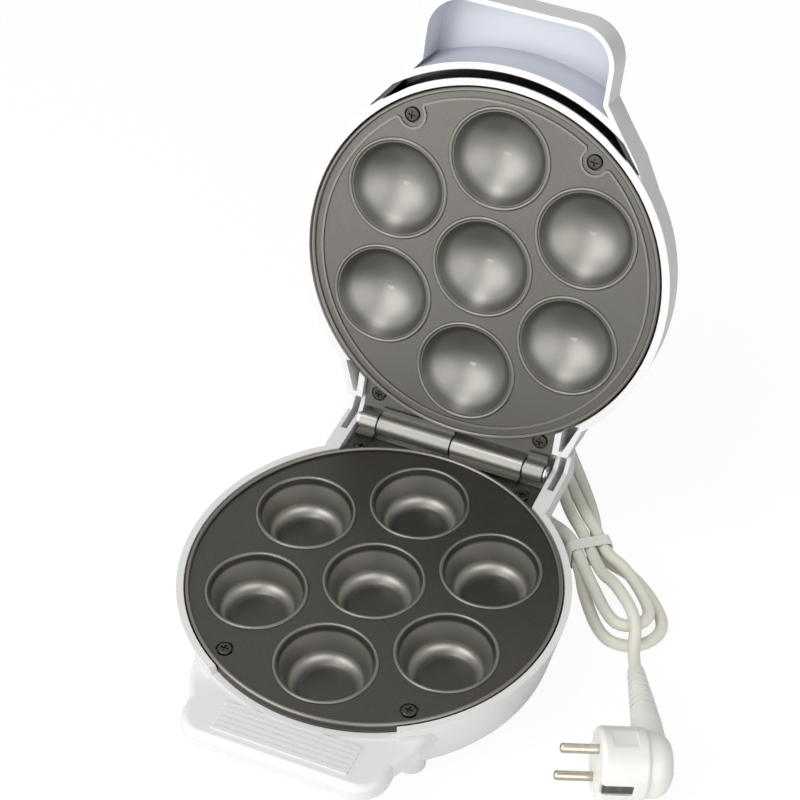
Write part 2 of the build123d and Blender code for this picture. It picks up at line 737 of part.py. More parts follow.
# Cord gland: a flanged bush in the rear wall with a ribbed, tapered sleeve outside
sleeve_start = rear_wall_back + 2.5
sleeve_end = 122.0
gland_plane = Plane(origin=(exit_x, plate_y, exit_z), x_dir=(1, 0, 0), z_dir=(0, 1, 0))
with BuildPart() as cord_gland:
    with BuildSketch(gland_plane.offset(rear_wall_back - wall - 3)):
        Circle(5.4)
    extrude(amount=wall + 3)
    with BuildSketch(gland_plane.offset(rear_wall_back)):
        Circle(7.5)
    extrude(amount=2.5)
    with BuildSketch(gland_plane.offset(sleeve_start)):
        Circle(5.4)
    with BuildSketch(gland_plane.offset(sleeve_end)):
        Circle(3.9)
    loft()
    for k in range(5):
        with BuildSketch(gland_plane.offset(sleeve_start + 4 + 4.6 * k)):
            Circle(6)
            Circle(4.4 - 0.22 * k, mode=Mode.SUBTRACT)
        extrude(amount=1.6, mode=Mode.SUBTRACT)
cord_gland.part.label = "cord_gland"
export_step(cord_gland.part, "parts/cord_gland.step")

# Rubber pads let into the four feet
with BuildPart() as foot_pads:
    add(posts(feet, 5.5, 0, 3.1))
    fillet(edges().filter_by(GeomType.CIRCLE).group_by(Axis.Z)[0], 0.6)
foot_pads.part.label = "foot_pads"
export_step(foot_pads.part, "parts/foot_pads.step")

# Two signal lamps in the lid: lenses through the top, neon bulbs and their holder under them
with BuildPart() as lamp_lenses:
    add(posts(lamp_places, 3.95, lid_top - 5.8, lid_top - 0.6))
    add(posts(lamp_places, 5.2, lid_top - 5.8, lid_top - 4.7))
lamp_lenses.part = opened(lamp_lenses.part)
lamp_lenses.part.label = "lamp_lenses"
export_step(lamp_lenses.part, "parts/lamp_lenses.step")

with BuildPart() as lamp_bulbs:
    add(posts(lamp_places, 2.4, lid_top - 15, lid_top - 8.5))
    fillet(edges().filter_by(GeomType.CIRCLE).group_by(Axis.Z)[-1], 2)
lamp_bulbs.part = opened(lamp_bulbs.part)
lamp_bulbs.part.label = "lamp_bulbs"
export_step(lamp_bulbs.part, "parts/lamp_bulbs.step")

with BuildPart() as lamp_holder:
    add(block(-17.5, 17.5, -43.5, -32.5, lid_top - 17, lid_top - 14))
    add(posts(lamp_places, 2.45, lid_top - 15, lid_top), mode=Mode.SUBTRACT)
    add(block(-17.5, -15.5, -43.5, -32.5, lid_top - 14, lid_top - 4.7))
    add(block(15.5, 17.5, -43.5, -32.5, lid_top - 14, lid_top - 4.7))
lamp_holder.part = opened(lamp_holder.part)
lamp_holder.part.label = "lamp_holder"
export_step(lamp_holder.part, "parts/lamp_holder.step")


# Wires and cords follow straight runs joined by arcs as large as the runs allow
def route_radii(points):
    radii = []
    for before, corner, after in zip(points, points[1:], points[2:]):
        first = Vector(*corner) - Vector(*before)
        second = Vector(*after) - Vector(*corner)
        half_turn = radians(first.get_angle(second)) / 2
        radii.append(0.45 * min(first.length, second.length) / tan(half_turn))
    return radii


def tube(points, radius):
    """A round tube along a route given from the plate centre."""
    with BuildPart() as solid:
        with BuildLine() as path:
            route = [(x, plate_y + back, z) for x, back, z in points]
            FilletPolyline(*route, radius=route_radii(route))
        with BuildSketch(Plane(origin=path.line @ 0, z_dir=path.line % 0)):
            Circle(radius)
        sweep(path=path.line)
    return solid.part


def round_points(radius, angles, z):
    return [(radius * cos(radians(a)), radius * sin(radians(a)), z) for a in angles]


wire_radius = 1.0
pin_reach = leg_end + 7
turn = radians(leg_angle)


def pin_run(side_step, z):
    """A wire's last run, straight on to the end of a heater's cold pin."""
    across = side_step * leg_gap
    reaches = (pin_reach + 9, pin_reach)
    return [(r * cos(turn) + across * sin(turn), r * sin(turn) - across * cos(turn), z) for r in reaches]


blade_z = plate_under - 7.4
lid_blade_z = lid_web_top + 7.4
block_left = block_x - 5
block_right = block_x + 5

base_routes = [
    [(11.5, 85.5, 16), (11.5, 81.5, 16), (16, 79, 14), (21.5, 79.8, 12.5), (block_left, 79.8, 12.5)],
    [(15.5, 85.5, 20), (15.5, 81.5, 20), (21, 79.8, 19.5), (block_left, 79.8, 19.5)],
    [(block_right, 79.8, 12.5), (45, 79.8, 12.5), (57, 67, 19)]
    + round_points(87, [38, 26, 14], 25)
    + [(85, 12, blade_z), (85, 5.5, blade_z)],
    [(77, 5.5, blade_z), (77, 11, blade_z), (84.5, 20, 29.5)]
    + round_points(88, [28, 40, 50], 29)
    + pin_run(1, lower_element_z),
    [(block_left, 79.8, 26.5), (22, 79.8, 26.5), (12, 86, 30), (-12, 86, 30), (-31, 83, 30), (-47, 73.5, 29)]
    + round_points(87, [136, 150, 163], 29)
    + [(fuse_x, 17, fuse_z), (fuse_x, 10, fuse_z)],
    pin_run(-1, lower_element_z)[::-1]
    + [(38, 85, 33.5), (10, 86.5, 33.8), (-14, 86.5, 33.8), (-33, 83.3, 33), (-49, 74, 32)]
    + round_points(89.5, [136, 150, 163, 176, 187], 33)
    + [(fuse_x, -17, fuse_z), (fuse_x, -10, fuse_z)],
]
with BuildPart() as base_wiring:
    for route in base_routes:
        add(tube(route, wire_radius))
base_wiring.part.label = "base_wiring"
export_step(base_wiring.part, "parts/base_wiring.step")

lid_routes = [
    [(77, 5.5, lid_blade_z), (77, 11, lid_blade_z), (84.5, 21, lid_blade_z)]
    + round_points(88, [28, 40, 50], upper_element_z)
    + pin_run(1, upper_element_z),
    [(17.5, -38, 69.5), (26, -38, 69.5), (46, -26, 68.5), (70, -16, 68.5), (84, -13, 67.5), (88.5, -13, 61.5)]
    + [(85, -12, lid_blade_z), (85, -5.5, lid_blade_z)],
    pin_run(-1, upper_element_z)[::-1]
    + [(30, 84.5, 58), (10, 86, 60), (-15, 86, 60), (-35, 81, 60)]
    + round_points(88, [125, 140, 155, 170, 185, 198], 61.5)
    + [(-66, -38, 68.5), (-46, -41, 69), (-27, -38.4, 69.5), (-17.5, -38, 69.5)],
]
with BuildPart() as lid_wiring:
    for route in lid_routes:
        add(tube(route, wire_radius))
lid_wiring.part = opened(lid_wiring.part)
lid_wiring.part.label = "lid_wiring"
export_step(lid_wiring.part, "parts/lid_wiring.step")

# Mains cord: it leaves the gland, runs down to the table behind and is put away as a tied hank at
# the right, with the plug in front. Places are along one of the hank's two headings from its tie
# and to the right of the way to the plug.
cord_radius = cord_diameter / 2
tie_place = (83.0, 92.0)
front_heading = Vector(0.66, -0.75)
rear_heading = Vector(-0.545, 0.838)
layer_low = 3.3
layer_high = 10.4
tie_lift = 0.9  # what the tie's own band adds under the cord
waist_step = 7.2
hank_end = 9.0  # past the tie


def beside(heading, along, right, z):
    sign = -1 if heading.Y < 0 else 1
    x = tie_place[0] + heading.X * along + sign * heading.Y * right
    back = tie_place[1] + heading.Y * along - sign * heading.X * right
    return (x, back, z)


def half_turn(heading, centre_along, centre_right, radius, z, first_side):
    """The four corners of a half turn round one end of the hank."""
    reach = radius / cos(radians(22.5))
    corners = []
    for k in range(4):
        angle = radians(first_side * (67.5 - 45 * k))
        along = centre_along + reach * cos(angle)
        corners.append(beside(heading, along, centre_right + reach * sin(angle), z))
    return corners


low_tie = layer_low + tie_lift
high_tie = layer_high + tie_lift
hank_route = (
    [beside(rear_heading, 110.5, -34.5, layer_low)]
    + half_turn(rear_heading, 114, -14.5, 20, layer_low, -1)
    + [
        beside(rear_heading, 58, 10.2, layer_low),
        beside(rear_heading, 28, 10.8, layer_low),
        beside(rear_heading, 11, waist_step, low_tie),
        beside(front_heading, 6, waist_step, low_tie),
        beside(front_heading, 21, 19.5, layer_low),
    ]
    + half_turn(front_heading, 47, 4, 18.2, layer_low, 1)
    + [
        beside(front_heading, 24, -11.6, layer_low),
        beside(front_heading, 8, -waist_step, low_tie),
        beside(rear_heading, 10, -waist_step, low_tie),
        beside(rear_heading, 36, -18, layer_low),
    ]
    + half_turn(rear_heading, 105, -14.7, 13, layer_low, -1)
    + [
        beside(rear_heading, 66, 3.0, layer_low),
        beside(rear_heading, 28, 3.6, layer_high),
        beside(rear_heading, 12, waist_step, high_tie),
        beside(front_heading, 7, waist_step, high_tie),
        beside(front_heading, 20, 14, layer_high),
    ]
    + half_turn(front_heading, 46, 3.6, 11.6, layer_high, 1)
    + [
        beside(front_heading, 24, -7.6, layer_high),
        beside(front_heading, 9, -waist_step, high_tie),
        beside(rear_heading, 10, -waist_step, high_tie),
        beside(rear_heading, 26, -19, layer_high),
    ]
    + half_turn(rear_heading, 46, -17.8, 14, layer_high, -1)
    + [
        beside(rear_heading, 28, -3.8, layer_high),
        beside(rear_heading, 10, 0, high_tie),
        beside(front_heading, hank_end, 0, high_tie),
    ]
)

# Plug: an angled plug that lies on its rim, with its two pins one above the other
plug_face = (137.5, plate_y - 49.0, 20.6)
plug_frame = Plane(origin=plug_face, x_dir=(-0.452, 0.889, -0.077), z_dir=(0.889, 0.442, -0.12))
plug_radius = 18.0
plug_depth = 36.4
plug_neck_behind = 28.8
plug_neck_reach = 27.0
relief_length = 37.0
neck_mouth = plug_frame.from_local_coords((plug_neck_reach, 0, plug_neck_behind))
neck_frame = Plane(origin=neck_mouth, x_dir=plug_frame.z_dir, z_dir=plug_frame.x_dir)
relief_tip = neck_frame.from_local_coords((0, 0, relief_length))
tip_run = neck_frame.from_local_coords((0, 0, relief_length + 12))


def from_centre(point):
    return (point.X, point.Y - plate_y, point.Z)


last_run = Vector(*hank_route[-1]) - Vector(*hank_route[-2])
tail_lead = Vector(*hank_route[-1]) + last_run.normalized() * 10
tail_route = [
    hank_route[-1],
    (tail_lead.X, tail_lead.Y, tail_lead.Z),
    beside(front_heading, 34, 1.5, 18.0),
    beside(front_heading, 60, 3.0, 18.0),
    from_centre(tip_run),
    from_centre(relief_tip),
]
hank_first = Vector(*hank_route[0])
hank_in = (Vector(*hank_route[1]) - hank_first).normalized()
lead_join = hank_first - hank_in * 14
lead_route = [
    (exit_x, sleeve_end, exit_z),
    (exit_x, sleeve_end + 14, exit_z),
    (lead_join.X, lead_join.Y, lead_join.Z),
    hank_route[0],
]

with BuildPart() as cord_lead:
    add(tube(lead_route, cord_radius))
cord_lead.part.label = "cord_lead"
export_step(cord_lead.part, "parts/cord_lead.step")

with BuildPart() as cord_hank:
    add(tube(hank_route, cord_radius))
cord_hank.part.label = "cord_hank"
export_step(cord_hank.part, "parts/cord_hank.step")

with BuildPart() as cord_tail:
    add(tube(tail_route, cord_radius))
cord_tail.part.label = "cord_tail"
export_step(cord_tail.part, "parts/cord_tail.step")


def run_length(points):
    return FilletPolyline(*points, radius=route_radii(points), mode=Mode.PRIVATE)


def least_gap(points, apart):
    """The least gap of a tube to itself, on points 2 mm apart that are some way along it."""
    wire = run_length(points)
    count = int(wire.length / 2)
    places = wire.positions([k / count for k in range(count + 1)])
    step = round(apart / 2)
    gaps = [
        (places[i] - places[j]).length - cord_diameter
        for i in range(count + 1)
        for j in range(i + step, count + 1)
    ]
    return min(gaps)


print("hank: least gap to itself", round(least_gap(hank_route, 25), 2), "mm")
for name, piece, route in (
    ("lead", cord_lead, lead_route),
    ("hank", cord_hank, hank_route),
    ("tail", cord_tail, tail_route),
):
    length = run_length(route).length
    share = piece.part.volume / (pi * cord_radius**2 * length)
    tightest = min(route_radii(route))
    print(name, "length", round(length), "tightest arc", round(tightest, 1), "volume ratio", round(share, 3))

# Tie: a band round the six strands at the hank's waist
tie_heading = Vector(0.602, -0.798)
tie_frame = Plane(
    origin=(tie_place[0] + 0.6, plate_y + tie_place[1] + 0.5, 0),
    x_dir=(-tie_heading.Y, tie_heading.X, 0),
    z_dir=tie_heading,
)
tie_half = waist_step + cord_radius + 0.7
tie_low = 0.8
tie_high = high_tie + cord_radius + 0.4
with BuildPart() as cord_tie:
    for grow, mode in ((0.7, Mode.ADD), (0, Mode.SUBTRACT)):
        with BuildSketch(tie_frame.offset(-3.2)):
            with Locations((0, (tie_low + tie_high) / 2)):
                RectangleRounded(2 * (tie_half + grow), tie_high - tie_low + 2 * grow, 2.4 + grow)
        extrude(amount=6.4, mode=mode)
cord_tie.part.label = "cord_tie"
export_step(cord_tie.part, "parts/cord_tie.step")

# Plug's pieces
clip_places = [(plug_radius - 1.7, 0), (1.7 - plug_radius, 0)]
pin_places = [(0, 9.5), (0, -9.5)]
with BuildPart() as plug_disc:
    with BuildSketch(plug_frame):
        Circle(plug_radius)
    extrude(amount=24)
    fillet(edges(), 2.5)

with BuildPart() as plug_cap:
    with BuildSketch(plug_frame.offset(18)):
        Circle(plug_radius - 1.8)
    extrude(amount=plug_depth - 18)
    fillet(faces().sort_by(Axis(plug_face, tuple(plug_frame.z_dir)))[-1].edges(), 9)

with BuildPart() as plug_neck:
    with BuildSketch(neck_frame):
        Circle(7.6)
    with BuildSketch(neck_frame.offset(-plug_neck_reach - 5)):
        Circle(8.6)
    loft()
    with Locations(neck_frame.offset(-plug_neck_reach - 5)):
        Sphere(8.6)

with BuildPart() as plug_body:
    add(plug_disc.part)
    add(plug_cap.part)
    add(plug_neck.part)
    with BuildSketch(plug_frame.offset(-1)):
        with Locations(*clip_places):
            Rectangle(3.4, 6.4)
    extrude(amount=17, mode=Mode.SUBTRACT)
    with BuildSketch(plug_frame):
        with Locations(*pin_places):
            Circle(2.43)
    extrude(amount=8, mode=Mode.SUBTRACT)
    for side_step in (-1, 1):
        with BuildSketch(plug_frame.offset(5)):
            with Locations((0, side_step * (plug_radius + 1.2))):
                Rectangle(14, 4)
        extrude(amount=13, mode=Mode.SUBTRACT)
plug_body.part.label = "plug_body"
export_step(plug_body.part, "parts/plug_body.step")

with BuildPart() as plug_pins:
    with BuildSketch(plug_frame.offset(-19)):
        with Locations(*pin_places):
            Circle(2.4)
    extrude(amount=27)
    fillet(faces().sort_by(Axis(plug_face, tuple(plug_frame.z_dir)))[:2].edges(), 1.4)
plug_pins.part.label = "plug_pins"
export_step(plug_pins.part, "parts/plug_pins.step")

with BuildPart() as plug_clips:
    with BuildSketch(plug_frame.offset(1)):
        with Locations(*clip_places):
            Rectangle(1.2, 5.0)
    extrude(amount=15)
plug_clips.part.label = "plug_earth_clips"
export_step(plug_clips.part, "parts/plug_earth_clips.step")

# Strain relief: a tapered sleeve with six grooves
groove_pitch = 4.2
relief_profile = [(0, 0), (7.6, 0)]
for k in range(6):
    start = 9 + groove_pitch * k
    outer = 7.6 - 3.4 * start / relief_length
    relief_profile += [(outer, start), (outer - 1.1, start), (outer - 1.1, start + 1.5), (outer, start + 1.5)]
relief_profile += [(4.2, relief_length), (0, relief_length)]
with BuildPart() as strain_relief:
    profile_normal = neck_frame.x_dir.cross(neck_frame.z_dir)
    with BuildSketch(Plane(origin=neck_mouth, x_dir=plug_frame.z_dir, z_dir=profile_normal)):
        with BuildLine():
            Polyline(*relief_profile, close=True)
        make_face()
    revolve(axis=Axis(tuple(neck_mouth), tuple(neck_frame.z_dir)))
strain_relief.part.label = "plug_strain_relief"
export_step(strain_relief.part, "parts/plug_strain_relief.step")
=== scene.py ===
import json
from math import cos, radians, sin

import bpy
from mathutils import Matrix, Vector


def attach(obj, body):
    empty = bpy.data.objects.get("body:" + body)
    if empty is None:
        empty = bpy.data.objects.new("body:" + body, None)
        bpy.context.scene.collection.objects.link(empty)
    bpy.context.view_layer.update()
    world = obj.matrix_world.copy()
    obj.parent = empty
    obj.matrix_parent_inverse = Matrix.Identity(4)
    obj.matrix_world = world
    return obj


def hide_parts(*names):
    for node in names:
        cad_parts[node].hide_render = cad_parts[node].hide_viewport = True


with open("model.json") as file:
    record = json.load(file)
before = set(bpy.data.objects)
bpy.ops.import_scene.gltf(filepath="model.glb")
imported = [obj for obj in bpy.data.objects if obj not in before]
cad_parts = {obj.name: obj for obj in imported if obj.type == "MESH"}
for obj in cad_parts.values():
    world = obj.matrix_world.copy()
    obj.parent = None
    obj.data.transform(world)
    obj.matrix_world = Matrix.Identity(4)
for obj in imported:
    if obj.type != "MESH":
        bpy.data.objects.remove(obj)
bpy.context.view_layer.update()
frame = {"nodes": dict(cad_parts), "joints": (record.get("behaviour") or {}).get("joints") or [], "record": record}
nodes = frame["nodes"]
scene = bpy.context.scene
scene.view_settings.view_transform = "Standard"

# Camera at the photograph's angle
azimuth, elevation, roll = radians(22.76), radians(43.24), radians(0.59)
camera_place = (0.3401, -0.8211, 0.9659)
sensor_width, focal_length = 36, 111.94
back = Vector((sin(azimuth) * cos(elevation), -cos(azimuth) * cos(elevation), sin(elevation)))
level = Vector((cos(azimuth), sin(azimuth), 0))
upward = back.cross(level)
right = level * cos(roll) + upward * sin(roll)
up = upward * cos(roll) - level * sin(roll)
aim = Matrix((right, up, back)).transposed().to_4x4()
camera_data = bpy.data.cameras.new("camera")
camera_data.sensor_width = sensor_width
camera_data.lens = focal_length
camera_data.clip_start = 0.05
camera_data.clip_end = 20
camera = bpy.data.objects.new("camera", camera_data)
scene.collection.objects.link(camera)
camera.matrix_world = Matrix.Translation(camera_place) @ aim
scene.camera = camera

# Cord: one line from the gland through the tied hank to the plug, in millimetres from the plate's
# centre, along the part's own route. Places in the hank are along one of its two headings from the
# tie, and to the right of the way to the plug.
plate_y = -41.5
cord_diameter = 6.4
exit_x, exit_back, exit_z = 14, 122, 18
tie_place = (83.0, 92.0)
front_heading = Vector((0.66, -0.75))
rear_heading = Vector((-0.545, 0.838))
layer_low, layer_high = 3.3, 10.4
tie_lift = 0.9  # what the tie's own band adds under the cord
low_tie, high_tie = layer_low + tie_lift, layer_high + tie_lift
waist_step = 7.2
tail_height = 18.0


def beside(heading, along, right_of, z):
    """A place in the hank, along a heading from the tie and to the right of the way to the plug."""
    sign = -1 if heading.y < 0 else 1
    x = tie_place[0] + heading.x * along + sign * heading.y * right_of
    y = tie_place[1] + heading.y * along - sign * heading.x * right_of
    return (x, y, z)


def half_turn(heading, centre_along, centre_right, radius, z, first_side):
    """The four points of a half turn round one end of the hank."""
    reach = radius / cos(radians(22.5))
    turn = [radians(first_side * (67.5 - 45 * k)) for k in range(4)]
    return [beside(heading, centre_along + reach * cos(a), centre_right + reach * sin(a), z) for a in turn]


lead = [(exit_x, exit_back, exit_z), (exit_x, exit_back + 14, exit_z), (1.4, 154.0, layer_low)]
hank = (
    [beside(rear_heading, 110.5, -34.5, layer_low)]
    + half_turn(rear_heading, 114, -14.5, 20, layer_low, -1)
    + [
        beside(rear_heading, 58, 10.2, layer_low),
        beside(rear_heading, 28, 10.8, layer_low),
        beside(rear_heading, 11, waist_step, low_tie),
        beside(front_heading, 6, waist_step, low_tie),
        beside(front_heading, 21, 19.5, layer_low),
    ]
    + half_turn(front_heading, 47, 4, 18.2, layer_low, 1)
    + [
        beside(front_heading, 24, -11.6, layer_low),
        beside(front_heading, 8, -waist_step, low_tie),
        beside(rear_heading, 10, -waist_step, low_tie),
        beside(rear_heading, 36, -18, layer_low),
    ]
    + half_turn(rear_heading, 105, -14.7, 13, layer_low, -1)
    + [
        beside(rear_heading, 66, 3.0, layer_low),
        beside(rear_heading, 28, 3.6, layer_high),
        beside(rear_heading, 12, waist_step, high_tie),
        beside(front_heading, 7, waist_step, high_tie),
        beside(front_heading, 20, 14, layer_high),
    ]
    + half_turn(front_heading, 46, 3.6, 11.6, layer_high, 1)
    + [
        beside(front_heading, 24, -7.6, layer_high),
        beside(front_heading, 9, -waist_step, high_tie),
        beside(rear_heading, 10, -waist_step, high_tie),
        beside(rear_heading, 26, -19, layer_high),
    ]
    + half_turn(rear_heading, 46, -17.8, 14, layer_high, -1)
    + [beside(rear_heading, 28, -3.8, layer_high), beside(rear_heading, 10, 0, high_tie)]
)

# The plug's neck, whose strain relief the tail enters at its tip
plug_face = Vector((137.5, -49.0, 20.6))
plug_out = Vector((-0.452, 0.889, -0.077)).normalized()
plug_behind = Vector((0.889, 0.442, -0.12)).normalized()
plug_neck_reach, plug_neck_behind = 27, 28.8
relief_length = 37
straight_run = 12  # in line with the relief, before its tip
neck_mouth = plug_face + plug_out * plug_neck_reach + plug_behind * plug_neck_behind
tail = [
    (94.9, 77.3, high_tie),
    beside(front_heading, 34, 1.5, tail_height),
    beside(front_heading, 60, 3.0, tail_height),
    tuple(neck_mouth + plug_out * (relief_length + straight_run)),
    tuple(neck_mouth + plug_out * relief_length),
]


def nurbs_line(name, points, diameter):
    """A round cord whose smooth line has the points, in millimetres, as its control points."""
    curve = bpy.data.curves.new(name, "CURVE")
    curve.dimensions = "3D"
    spline = curve.splines.new("NURBS")
    spline.points.add(len(points) - 1)
    for place, (x, y, z) in zip(spline.points, points):
        place.co = (x / 1000, (y + plate_y) / 1000, z / 1000, 1)
        place.radius = diameter / 2000
    spline.order_u = 3
    spline.use_endpoint_u = True
    spline.resolution_u = 8
    curve.bevel_depth = 1.0  # times each point's radius
    curve.bevel_resolution = 6
    curve.use_fill_caps = True
    piece = bpy.data.objects.new(name, curve)
    scene.collection.objects.link(piece)
    return piece


cord = nurbs_line("mains_cord", lead + hank + tail, cord_diameter)
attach(cord, "base")
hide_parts("cord_lead", "cord_hank", "cord_tail")

# Noise values between which a look passes from one side to the other
noise_middle = (0.3, 0.7)
noise_nearly_all = (0.2, 0.8)
noise_core = (0.35, 0.65)


class Surface:
    """A material whose detail comes from noise in the piece's own coordinates, in metres."""

    def __init__(self, name):
        self.material = bpy.data.materials.new(name)
        self.material.use_nodes = True
        self.tree = self.material.node_tree
        self.shader = self.tree.nodes["Principled BSDF"]
        self.place = self.tree.nodes.new("ShaderNodeTexCoord").outputs["Object"]

    def join(self, source, target):
        self.tree.links.new(source, target)

    def noise(self, size, detail=3.0):
        """Noise whose blotches are about size millimetres across."""
        node = self.tree.nodes.new("ShaderNodeTexNoise")
        node.inputs["Scale"].default_value = 1000 / size
        node.inputs["Detail"].default_value = detail
        self.join(self.place, node.inputs["Vector"])
        return node.outputs["Fac"]

    def spread(self, value, low, high, span=noise_middle):
        """From low to high while the value crosses its span, and level past either end."""
        node = self.tree.nodes.new("ShaderNodeMapRange")
        for socket, number in zip(("From Min", "From Max", "To Min", "To Max"), (*span, low, high)):
            node.inputs[socket].default_value = number
        self.join(value, node.inputs["Value"])
        return node.outputs["Result"]

    def mix(self, factor, first, second):
        """The first colour where the factor is nought and the second where it is one."""
        node = self.tree.nodes.new("ShaderNodeMix")
        node.data_type = "RGBA"
        self.join(factor, node.inputs["Factor"])
        for socket, colour in ((node.inputs["A"], first), (node.inputs["B"], second)):
            if isinstance(colour, tuple):
                socket.default_value = (*colour, 1)
            else:
                self.join(colour, socket)
        return node.outputs["Result"]

    def relief(self, *layers):
        """Bumps of a height in millimetres each, one on the other."""
        normal = None
        for value, height in layers:
            node = self.tree.nodes.new("ShaderNodeBump")
            node.inputs["Distance"].default_value = height / 1000
            node.inputs["Strength"].default_value = 1.0
            self.join(value, node.inputs["Height"])
            if normal:
                self.join(normal, node.inputs["Normal"])
            normal = node.outputs["Normal"]
        self.join(normal, self.shader.inputs["Normal"])

    def math(self, operation, *values):
        """A number from one or two others, each of them a plain number or another node's result."""
        node = self.tree.nodes.new("ShaderNodeMath")
        node.operation = operation
        for socket, value in zip(node.inputs, values):
            if isinstance(value, (int, float)):
                socket.default_value = value
            else:
                self.join(value, socket)
        return node.outputs["Value"]

    def within(self, *ranges):
        """One where every value lies in its range, else nought. A limit of None is left open."""
        result = None
        for value, low, high in ranges:
            for operation, limit in (("GREATER_THAN", low), ("LESS_THAN", high)):
                if limit is None:
                    continue
                test = self.math(operation, value, limit)
                result = self.math("MULTIPLY", result, test) if result else test
        return result

    def past(self, value, limit):
        """How far a value is past its limit, else nought."""
        return self.math("MAXIMUM", self.math("SUBTRACT", value, limit), 0)

    def length(self, first, second):
        squares = [self.math("POWER", value, 2) for value in (first, second)]
        return self.math("SQRT", self.math("ADD", *squares))

    def coordinates(self):
        node = self.tree.nodes.new("ShaderNodeSeparateXYZ")
        self.join(self.place, node.inputs["Vector"])
        return node.outputs["X"], node.outputs["Y"], node.outputs["Z"]

    def colour(self, source):
        self.join(source, self.shader.inputs["Base Color"])

    def rough(self, low, high, size):
        """Roughness from low to high in blotches of size millimetres."""
        patches = self.spread(self.noise(size), low, high, noise_nearly_all)
        self.join(patches, self.shader.inputs["Roughness"])

    def set(self, **numbers):
        for name, number in numbers.items():
            self.shader.inputs[name.replace("_", " ")].default_value = number


def moulded(name, pale, dark, rough, grain=0.004, patch=30, **numbers):
    """Moulded plastic: slight clouding, a faint grain and soft waves in the gloss."""
    surface = Surface(name)
    surface.colour(surface.mix(surface.spread(surface.noise(patch), 0, 1), pale, dark))
    surface.rough(rough, rough + 0.1, size=25)
    surface.relief((surface.noise(1.2), grain), (surface.noise(9, detail=1), grain * 4))
    surface.set(**numbers)
    return surface.material


def metal(name, pale, dark, rough, relief=0.006):
    """Bare or plated metal: fine mottling and a rough or smooth grain of the relief's height."""
    surface = Surface(name)
    surface.colour(surface.mix(surface.spread(surface.noise(3, detail=4), 0, 1), pale, dark))
    surface.rough(rough, rough + 0.18, size=2)
    surface.relief((surface.noise(0.5, detail=4), relief))
    surface.set(Metallic=1.0)
    return surface.material


# Places on the lid and the plates are told, in metres, with the lid closed: across is along the hinge,
# ahead is forward of its axis and lift is above it
hinge = frame["joints"][0]
hinge_y, hinge_z = hinge["pos_m"][1:]
lid_open = radians(hinge["range_deg"][1])
hinge_behind_plate = hinge_y - plate_y / 1000  # from the plate's centre to the axis


def lid_axes(surface, turn):
    """Across, ahead and lift on a piece that is swung open by turn."""
    x, y, z = surface.coordinates()
    forward = surface.math("SUBTRACT", hinge_y, y)
    height = surface.math("SUBTRACT", z, hinge_z)
    ahead = surface.math(
        "ADD", surface.math("MULTIPLY", forward, cos(turn)), surface.math("MULTIPLY", height, sin(turn))
    )
    lift = surface.math(
        "SUBTRACT", surface.math("MULTIPLY", height, cos(turn)), surface.math("MULTIPLY", forward, sin(turn))
    )
    return x, ahead, lift


# Non-stick plates: the web between the hollows is the darkest, the beads' tops are paler with painted highlight,
# and the hollows, with painted highlight, and the hinge's barrels are the palest
barrel_coat = (0.23, 0.225, 0.205)
# painted highlight on the raised beads' tops, where they catch the light
bead_painted_highlight = (0.18, 0.17, 0.15)
barrel_edge = (0.0062, 0.0072)  # from the hinge axis
bead_edge = (-0.0007, -0.0003)  # depth below the web, so that the beads stand above it
floor_edge = (-0.0025, -0.0003)  # depth below a cup's floor, so that the hollow's colour ends above it


def nonstick(name, pale, dark, hollow, rough, turn, web_lift, deeper, wall_edge, floor_depth):
    """Cast aluminium under a non-stick coat: fine speckle, painted highlight in the hollows and a lighter hinge.

    The web between the hollows lies web_lift above the hinge axis, and deeper is 1 where they deepen upwards and
    -1 where they deepen downwards. Their painted highlight sets in over the depths of wall_edge and ends just
    before floor_depth."""
    surface = Surface(name)
    ahead, lift = lid_axes(surface, turn)[1:]
    speckle = surface.mix(surface.spread(surface.noise(0.35, detail=2), 0, 1, noise_core), pale, dark)
    depth = surface.math("MULTIPLY", surface.math("SUBTRACT", lift, web_lift), deeper)
    below_web = surface.spread(depth, 0, 1, wall_edge)
    above_floor = surface.spread(depth, 1, 0, tuple(floor_depth + edge for edge in floor_edge))
    # where the hollows get their painted highlight
    in_hollow = surface.math("MULTIPLY", below_web, above_floor)
    proud = surface.spread(depth, 1, 0, bead_edge)
    # Painted highlight: the beads' tops and the hollows are coloured paler for the light they catch
    coat = surface.mix(proud, surface.mix(in_hollow, speckle, hollow), bead_painted_highlight)
    on_barrel = surface.spread(surface.length(ahead, lift), 1, 0, barrel_edge)
    surface.colour(surface.mix(on_barrel, coat, barrel_coat))
    surface.rough(rough, rough + 0.08, size=14)
    surface.relief((surface.noise(0.5), 0.012), (surface.noise(5, detail=2), 0.01))
    surface.set(Metallic=0.85)
    return surface.material


# White housing: limits of the painted shade in the hood's hollow and of the painted shadow in the heat slot, each
# a little wide of its walls.
# They are told from the plate's centre, and the lifts from the hinge axis. The hollow has straight
# sides that flare towards the hinge and rounded front corners, and a slanting line cuts off each end
# of the slot.
front_of_centre = (0.07, 0.2)
lid_edge_radius = 0.1055
hood_flare_start, hood_flare_slope = 0.1005, 0.73
hood_corner_across, hood_corner_front, hood_corner_radius = 0.0295, 0.117, 0.0192
hood_lifts = (0.0027, 0.0240)
slot_radii = (0.0994, 0.1042)
slot_lifts = (0.0014, 0.019)
slot_end_slope, slot_end_reach = 0.77, 0.1265


